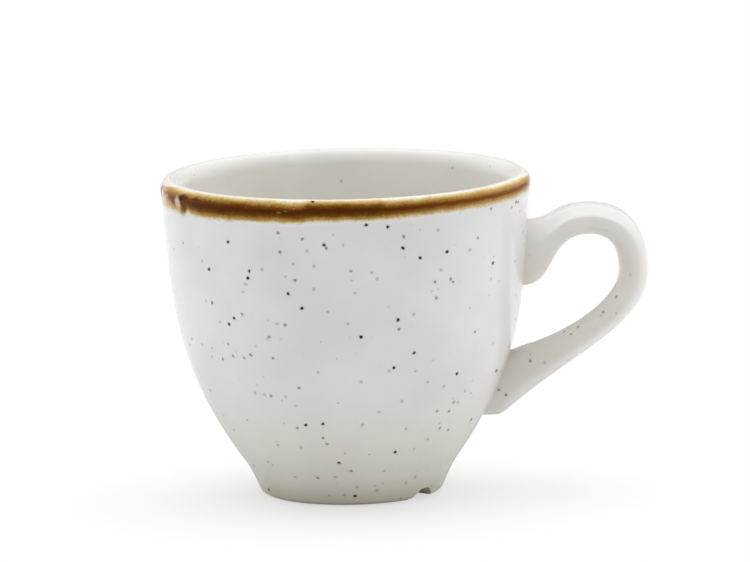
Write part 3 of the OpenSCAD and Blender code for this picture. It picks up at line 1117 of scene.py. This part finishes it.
def make_camera():
    """Camera that sees the target at its place in the picture."""
    data = bpy.data.cameras.new("camera")
    data.lens = FOCAL_PX * data.sensor_width / PICTURE_W
    camera = new_object("camera", data)
    rise = math.radians(VIEW_RISE)
    back = Vector((0, -math.cos(rise), math.sin(rise)))
    camera.location = (Vector(TARGET) + VIEW_DISTANCE * back) * MM
    across = math.atan((TARGET_PX[0] - PICTURE_W / 2) / FOCAL_PX)
    up = math.atan((TARGET_PX[1] - PICTURE_H / 2) / FOCAL_PX)
    look = (-back).to_track_quat("-Z", "Y")
    look = look @ Quaternion((0, 0, 1), math.radians(VIEW_ROLL))
    look = look @ Quaternion((1, 0, 0), up) @ Quaternion((0, 1, 0), across)
    camera.rotation_mode = "QUATERNION"
    camera.rotation_quaternion = look
    bpy.context.scene.camera = camera
    return camera


# Floor, background and lamps, in metres

WHITE = (1, 1, 1, 1)
# How bright the gloss sees white on the camera's side, and the bearings between which that changes
GLEAM_DIM = 0.12
WORLD_BEARING = (-0.3, 0.3)
FLOOR_BEARING = (-0.8, 0.0)
# How bright it sees white behind the cup, which changes sideways, and on the floor, where a painted shadow
# darkens it near the cup
WORLD_GLEAM = (0.25, 0.75, 0.5, 0.9)
FLOOR_GLEAM = (0.02, 0.12, 0.5, 1.0)
SOFT_LIGHT = 0.625
FLOOR_SIZE = 1.5
FLOOR_DROP = 0.0002
FLOOR_TONE = colour(232, 231, 229)
FLOOR_ROUGH = 0.8
# How white the camera sees the floor, which keeps the shadow close to the cup
FLOOR_WHITE = (0.02, 0.1, 0.6, 1.0)
# Lamps: name, place, width, height and power in watts
LAMPS = [
    ("top", (0.0, 0.05, 0.7), 0.7, 0.6, 3.6),
    ("left", (-0.6, 0.0, 0.25), 0.5, 0.6, 0.27),
    ("right", (0.6, 0.0, 0.25), 0.5, 0.6, 0.65),
    ("back_left", (-0.42, 0.45, 0.25), 0.3, 0.6, 0.8),
    ("back_right", (0.42, 0.45, 0.25), 0.3, 0.6, 0.8),
]


def seen_directly(tree):
    """1 for rays from the camera or through clear glass."""
    path = add(tree, "LightPath").outputs
    return maths("MAXIMUM", path["Is Camera Ray"], path["Is Transmission Ray"])


def seen_in_gloss(tree):
    """1 for rays from a reflection."""
    return add(tree, "LightPath").outputs["Is Glossy Ray"]


def white_strength(tree, bearing, bearings, gleam):
    """White for the camera, dim for the gloss on the camera's side, and gleam behind the cup."""
    return maths("MAXIMUM", seen_directly(tree), ease(bearing, *bearings, GLEAM_DIM, gleam))


def floor_material():
    """Pale floor that keeps the cup's shadow, runs out to white and is clear from below."""
    material, tree, shader = new_material("floor")
    shader.inputs["Base Color"].default_value = FLOOR_TONE
    shader.inputs["Roughness"].default_value = FLOOR_ROUGH
    shader.inputs["Specular IOR Level"].default_value = 0.0
    spot = add(tree, "TexCoord").outputs["Object"]
    apart = vectors("LENGTH", spot)
    bearing = maths("DIVIDE", part_of(spot, "Y"), apart)
    # The floor seen in the gloss glows, with a painted shadow close to the cup
    strength = white_strength(tree, bearing, FLOOR_BEARING, ease(apart, *FLOOR_GLEAM))
    white = add(tree, "Emission", {"Color": WHITE, "Strength": strength}).outputs[0]
    direct = times(seen_directly(tree), ease(apart, *FLOOR_WHITE))
    share = maths("MAXIMUM", direct, seen_in_gloss(tree))
    lit = add(tree, "MixShader", {0: share, 1: shader.outputs[0], 2: white}).outputs[0]
    below = add(tree, "NewGeometry").outputs["Backfacing"]
    clear = add(tree, "BsdfTransparent").outputs[0]
    shown = add(tree, "MixShader", {0: below, 1: lit, 2: clear}).outputs[0]
    link(shown, tree.nodes["Material Output"], "Surface")
    return material


def make_floor():
    """Floor just under the cup."""
    mesh = bpy.data.meshes.new("floor")
    corners = [(x * FLOOR_SIZE, y * FLOOR_SIZE, 0) for x, y in ((-1, -1), (1, -1), (1, 1), (-1, 1))]
    mesh.from_pydata(corners, [], [(0, 1, 2, 3)])
    mesh.materials.append(floor_material())
    floor = new_object("floor", mesh)
    floor.location = (0, 0, -FLOOR_DROP)


def make_world():
    """White background, dim for the gloss on the camera's side, and a soft light from all round."""
    world = bpy.data.worlds.new("studio")
    world.use_nodes = True
    tree = world.node_tree
    tree.nodes.clear()
    way = add(tree, "TexCoord").outputs["Generated"]
    gleam = ease(maths("ABSOLUTE", part_of(way, "X")), *WORLD_GLEAM)
    strength = white_strength(tree, part_of(way, "Y"), WORLD_BEARING, gleam)
    white = add(tree, "Background", {"Color": WHITE, "Strength": strength}).outputs[0]
    soft = add(tree, "Background", {"Color": WHITE, "Strength": SOFT_LIGHT}).outputs[0]
    share = maths("MAXIMUM", seen_directly(tree), seen_in_gloss(tree))
    shown = add(tree, "MixShader", {0: share, 1: soft, 2: white}).outputs[0]
    link(shown, add(tree, "OutputWorld"), "Surface")
    bpy.context.scene.world = world


def make_lamp(name, place, wide, high, power):
    """Soft box that faces the cup and does not show in the gloss."""
    data = bpy.data.lights.new(name, "AREA")
    data.shape = "RECTANGLE"
    data.size = wide
    data.size_y = high
    data.energy = power
    lamp = new_object(name, data)
    lamp.location = place
    middle = Vector((0, 0, CUP_H / 2)) * MM
    lamp.rotation_mode = "QUATERNION"
    lamp.rotation_quaternion = (middle - lamp.location).to_track_quat("-Z", "Y")
    lamp.visible_camera = False
    lamp.visible_glossy = False


# Places of the larger specks in the picture, in pixels

DARK_SPECKS = [
    (209, 269), (249, 271), (288, 294), (229, 324), (234, 318), (324, 245), (228, 242), (366, 225),
    (388, 227), (403, 248), (420, 258), (447, 252), (516, 202), (398, 320), (493, 263), (361, 337),
    (414, 353), (394, 368), (395, 452), (339, 463), (306, 425), (323, 424), (302, 308), (248, 278),
    (212, 303), (316, 203), (471, 420), (457, 374), (355, 496), (269, 490), (501, 371), (518, 202),
    (496, 371), (497, 371), (502, 371),
]
GREY_SPECKS = [
    (183, 243), (278, 233), (302, 239), (326, 248), (280, 252), (351, 271), (295, 280), (242, 314),
    (285, 325), (269, 337), (192, 339), (190, 345), (228, 344), (233, 356), (223, 359), (244, 358),
    (251, 355), (273, 358), (299, 388), (271, 396), (210, 390), (404, 237), (478, 238), (435, 282),
    (451, 279), (453, 282), (436, 298), (399, 329), (475, 332), (454, 402), (437, 411), (449, 411),
    (440, 428), (448, 430), (297, 428), (234, 430), (323, 438), (327, 444), (351, 471), (318, 478),
    (512, 207), (491, 209), (523, 232), (499, 390), (506, 395), (564, 332), (571, 334), (616, 297),
    (578, 327), (603, 312), (530, 361), (527, 215),
]
FAINT_SPECKS = [
    (307, 251), (314, 266), (314, 289), (328, 312), (286, 397), (296, 406), (174, 249), (202, 261),
    (262, 269), (293, 264), (245, 284), (243, 292), (355, 293), (277, 324), (220, 322), (202, 344),
    (212, 348), (318, 372), (265, 395), (255, 393), (348, 324), (223, 415), (247, 420), (377, 279),
    (414, 314), (361, 382), (428, 382), (444, 386), (402, 401), (379, 412), (362, 425), (406, 429),
    (428, 439), (470, 250), (441, 270), (491, 279), (389, 371), (458, 402), (493, 343), (438, 230),
    (465, 391), (278, 445), (295, 477), (335, 477), (357, 487), (344, 495), (406, 483), (301, 447),
    (268, 462), (414, 449), (384, 471), (415, 477), (520, 211),
]


def seen_at(camera, trees, x, y):
    """Point of the pieces that the camera sees at a pixel, in millimetres."""
    way = Vector((x - PICTURE_W / 2, PICTURE_H / 2 - y, -FOCAL_PX)).normalized()
    way = camera.rotation_quaternion @ way
    found = [tree.ray_cast(camera.location, way) for tree in trees]
    found = [hit for hit in found if hit[0] is not None]
    return tuple(min(found, key=lambda hit: hit[3])[0] / MM)


def speck_spots(camera, pieces):
    """Places on the pieces of the dark, the grey and the faint specks."""
    depsgraph = bpy.context.evaluated_depsgraph_get()
    trees = [BVHTree.FromObject(piece, depsgraph) for piece in pieces]
    kinds = (DARK_SPECKS, GREY_SPECKS, FAINT_SPECKS)
    return [[seen_at(camera, trees, *speck) for speck in specks] for specks in kinds]


# The whole scene

camera = make_camera()
outer = make_outer_glaze()
inner = make_inner_glaze()
handle = make_handle_glaze()
core = make_handle_core()
band = make_rim_band()
glaze_group = make_glaze_group(speck_spots(camera, (outer, handle, band)))
clay = clay_material("bare_clay", CLAY_TONES)
slip = clay_material("slip", SLIP_TONES)
# The foot and lower tints of the outer coat and the inside tint are painted shade
outside = coat_material("outer_glaze", glaze_group, OUTER_AMOUNT, FOOT_SHADE_TINT, LOWER_WARM_SHADE_TINT, LIP_TINT)
inside = coat_material("inner_glaze", glaze_group, INNER_AMOUNT, INSIDE_SHADE_TINT)
recess = coat_material("base_glaze", glaze_group, OUTER_AMOUNT)

for piece, node, slot, material in (
    (outer, "outer_glaze", "glaze", outside),
    (inner, "inner_glaze", "glaze", inside),
    (handle, "handle_glaze", "glaze", handle_material(glaze_group)),
    (core, "handle", "clay", clay),
    (band, "rim_band", "band", band_material(glaze_group)),
):
    piece.data.materials.append(material)
    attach(piece, "root")
    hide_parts(node)

for node, material in (
    ("bowl", clay), ("upper_handle_joint", slip), ("lower_handle_joint", slip), ("base_glaze", recess),
):
    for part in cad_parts[node].material_slots:
        part.material = material

make_floor()
make_world()
for lamp in LAMPS:
    make_lamp(*lamp)

bpy.context.scene.view_settings.view_transform = "Standard"
